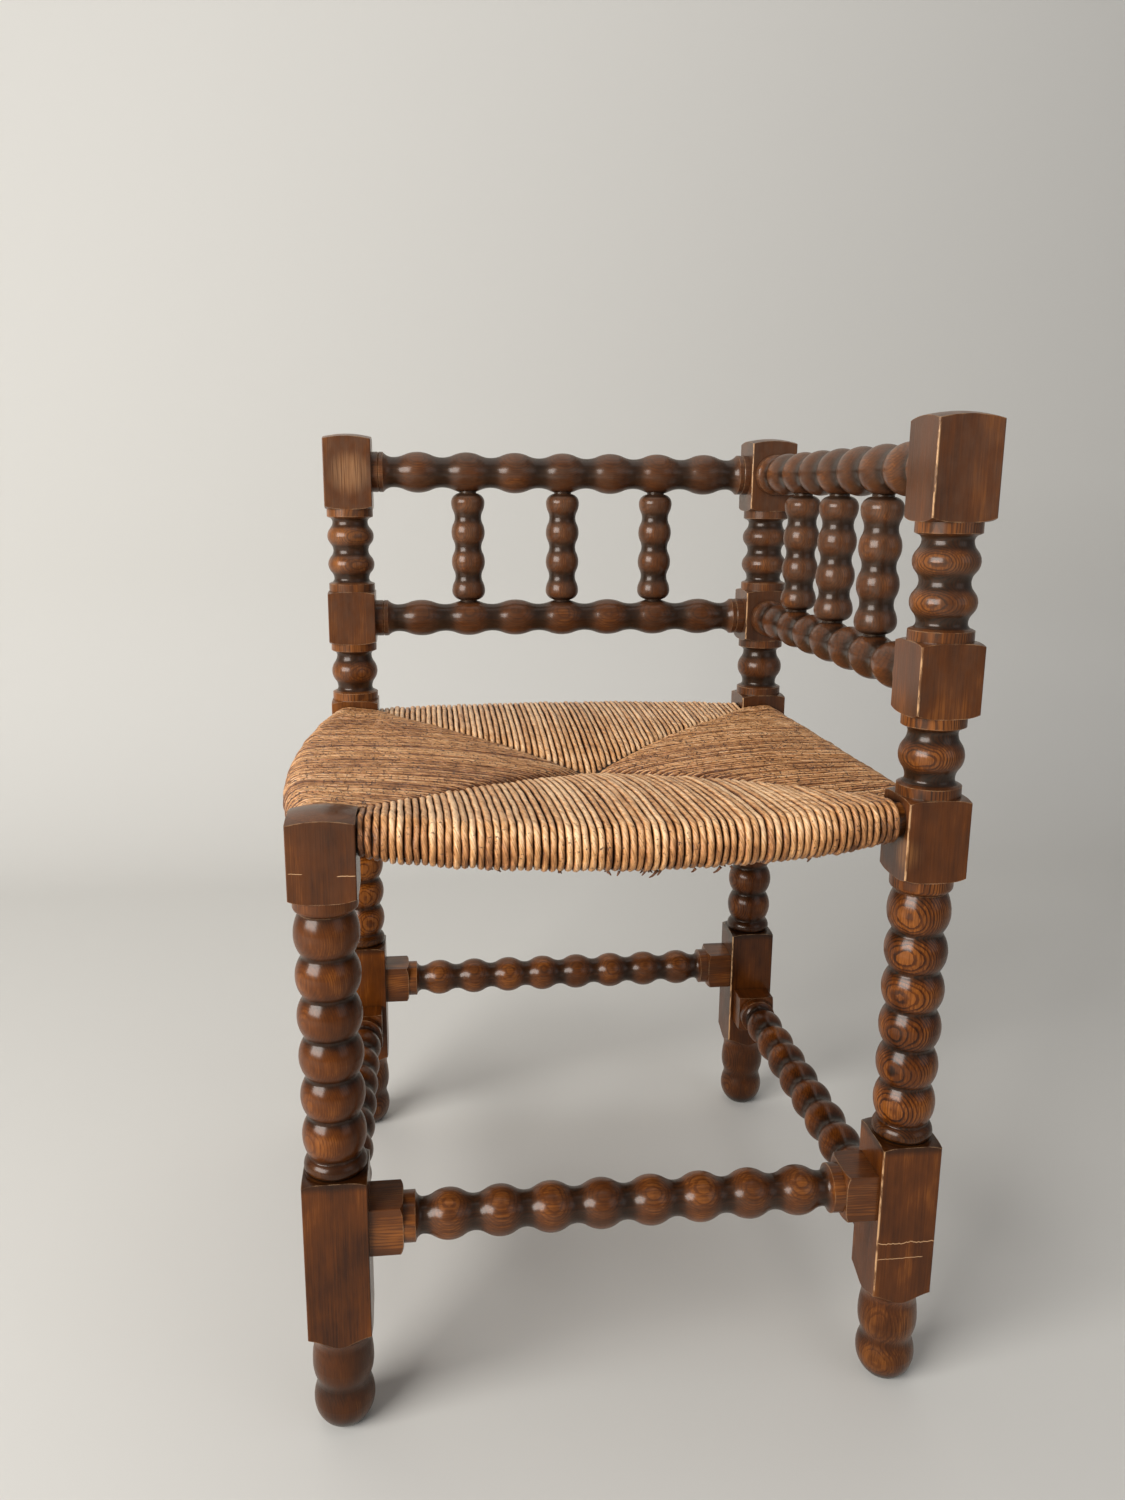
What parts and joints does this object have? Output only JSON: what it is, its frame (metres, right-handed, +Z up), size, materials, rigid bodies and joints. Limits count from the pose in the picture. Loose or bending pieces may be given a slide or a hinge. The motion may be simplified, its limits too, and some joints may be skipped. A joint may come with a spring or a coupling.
{
  "type": "corner chair",
  "caption": "Rustic wooden corner chair with bobbin turned posts, rails and stretchers, backrests on two adjoining sides and a woven rush seat.",
  "frame": {"origin": "on the floor, below the middle of the whole chair's box; the four feet stand on z = 0", "axes": "+X to the right and +Y to the back as seen from the open front, where the back rails run along X; +Z up"},
  "size_m": [0.4837, 0.4837, 0.7255],
  "materials": {
    "post_wood": "satin",
    "rail_wood": "satin",
    "stretcher_wood": "satin",
    "plain_wood": "matte",
    "rush": "satin"
  },
  "bodies": {
    "root": {"short_front_post": "post_wood", "front_right_post": "post_wood", "back_left_post": "post_wood", "corner_post": "post_wood", "upper_back_rail": "rail_wood", "lower_back_rail": "rail_wood", "upper_side_rail": "rail_wood", "lower_side_rail": "rail_wood", "back_spindle_1": "rail_wood", "back_spindle_2": "rail_wood", "back_spindle_3": "rail_wood", "side_spindle_1": "rail_wood", "side_spindle_2": "rail_wood", "side_spindle_3": "rail_wood", "front_stretcher": "stretcher_wood", "back_stretcher": "stretcher_wood", "left_stretcher": "stretcher_wood", "right_stretcher": "stretcher_wood", "back_seat_rail": "plain_wood", "right_seat_rail": "plain_wood", "front_seat_rail": "plain_wood", "left_seat_rail": "plain_wood", "rush_seat": "rush"}
  },
  "joints": []
}
